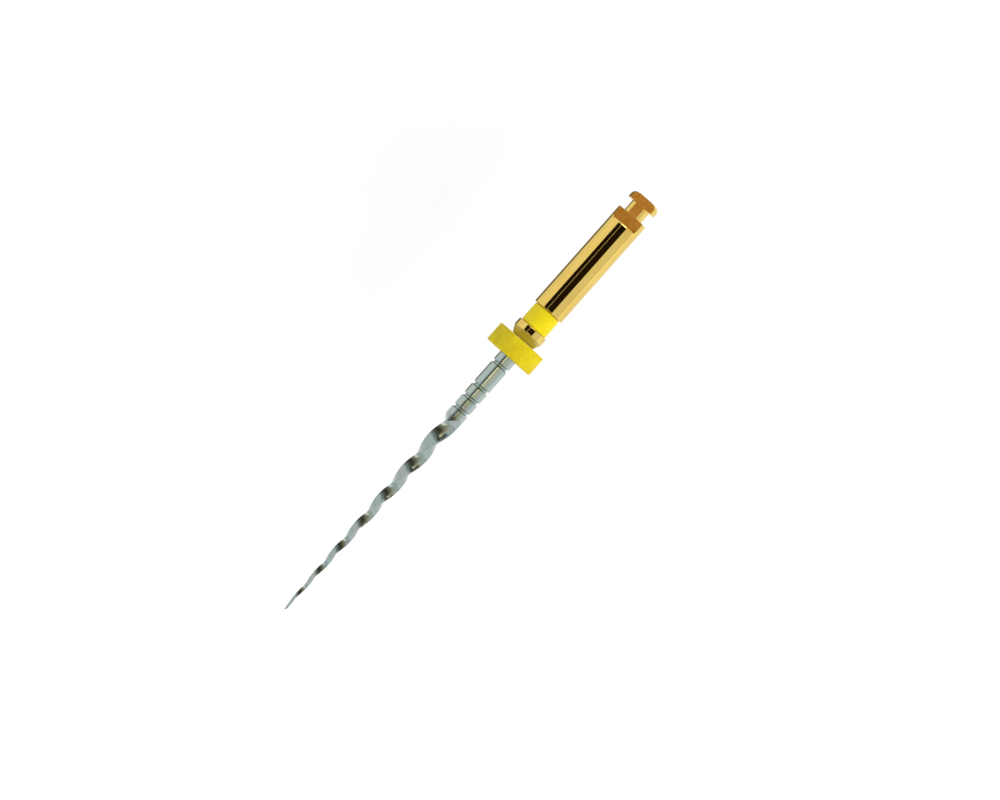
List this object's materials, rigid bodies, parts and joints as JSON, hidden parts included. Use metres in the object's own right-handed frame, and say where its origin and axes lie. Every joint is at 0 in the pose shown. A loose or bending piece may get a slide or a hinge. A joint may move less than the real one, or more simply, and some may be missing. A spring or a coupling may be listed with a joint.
{
  "type": "endodontic file",
  "caption": "Rotary endodontic file: a tapered, twisted wire blade that flexes, on a latch handle with a colour ring and a sliding depth stopper.",
  "frame": {"origin": "centre of the flat end face of the latch shank, on the file's axis", "axes": "+X along the file, from the end of the latch shank to the tip; +Z out of the D-flat"},
  "size_m": [0.037, 0.0038, 0.0038],
  "materials": {
    "handle": "polished",
    "id_ring": "satin",
    "stopper": "matte silicone",
    "nitinol": "ground nickel-titanium"
  },
  "bodies": {
    "body": {"handle": "handle", "id_ring": "id_ring", "shank": "nitinol"},
    "stopper": {"stopper": "stopper"},
    "blade_01": {"blade_01": "nitinol"},
    "blade_02": {"blade_02": "nitinol"},
    "blade_03": {"blade_03": "nitinol"},
    "blade_04": {"blade_04": "nitinol"},
    "blade_05": {"blade_05": "nitinol"},
    "blade_06": {"blade_06": "nitinol"},
    "blade_07": {"blade_07": "nitinol"},
    "blade_08": {"blade_08": "nitinol"},
    "blade_09": {"blade_09": "nitinol"},
    "blade_10": {"blade_10": "nitinol"},
    "blade_11": {"blade_11": "nitinol"},
    "blade_12": {"blade_12": "nitinol"}
  },
  "joints": [
    {"name": "stopper_slide", "type": "slide", "parent": "body", "child": "stopper", "axis": [1, 0, 0], "range_m": [0, 0.005]},
    {"name": "flex_01", "type": "hinge", "parent": "body", "child": "blade_01", "pos_m": [0.0208, 0, 0], "axis": [0, 0, 1], "range_deg": [-3, 3]},
    {"name": "flex_02", "type": "hinge", "parent": "blade_01", "child": "blade_02", "pos_m": [0.02189, 0, 0], "axis": [0, 0, 1], "range_deg": [-4, 4]},
    {"name": "flex_03", "type": "hinge", "parent": "blade_02", "child": "blade_03", "pos_m": [0.02298, 0, 0], "axis": [0, 0, 1], "range_deg": [-6, 6]},
    {"name": "flex_04", "type": "hinge", "parent": "blade_03", "child": "blade_04", "pos_m": [0.02407, 0, 0], "axis": [0, 0, 1], "range_deg": [-9, 9]},
    {"name": "flex_05", "type": "hinge", "parent": "blade_04", "child": "blade_05", "pos_m": [0.02516, 0, 0], "axis": [0, 0, 1], "range_deg": [-14, 14]},
    {"name": "flex_06", "type": "hinge", "parent": "blade_05", "child": "blade_06", "pos_m": [0.02625, 0, 0], "axis": [0, 0, 1], "range_deg": [-16, 16]},
    {"name": "flex_07", "type": "hinge", "parent": "blade_06", "child": "blade_07", "pos_m": [0.02734, 0, 0], "axis": [0, 0, 1], "range_deg": [-17, 17]},
    {"name": "flex_08", "type": "hinge", "parent": "blade_07", "child": "blade_08", "pos_m": [0.02843, 0, 0], "axis": [0, 0, 1], "range_deg": [-20, 20]},
    {"name": "flex_09", "type": "hinge", "parent": "blade_08", "child": "blade_09", "pos_m": [0.02952, 0, 0], "axis": [0, 0, 1], "range_deg": [-24, 24]},
    {"name": "flex_10", "type": "hinge", "parent": "blade_09", "child": "blade_10", "pos_m": [0.03061, 0, 0], "axis": [0, 0, 1], "range_deg": [-26, 26]},
    {"name": "flex_11", "type": "hinge", "parent": "blade_10", "child": "blade_11", "pos_m": [0.0317, 0, 0], "axis": [0, 0, 1], "range_deg": [-20, 20]},
    {"name": "flex_12", "type": "hinge", "parent": "blade_11", "child": "blade_12", "pos_m": [0.03279, 0, 0], "axis": [0, 0, 1], "range_deg": [-16, 16]}
  ]
}
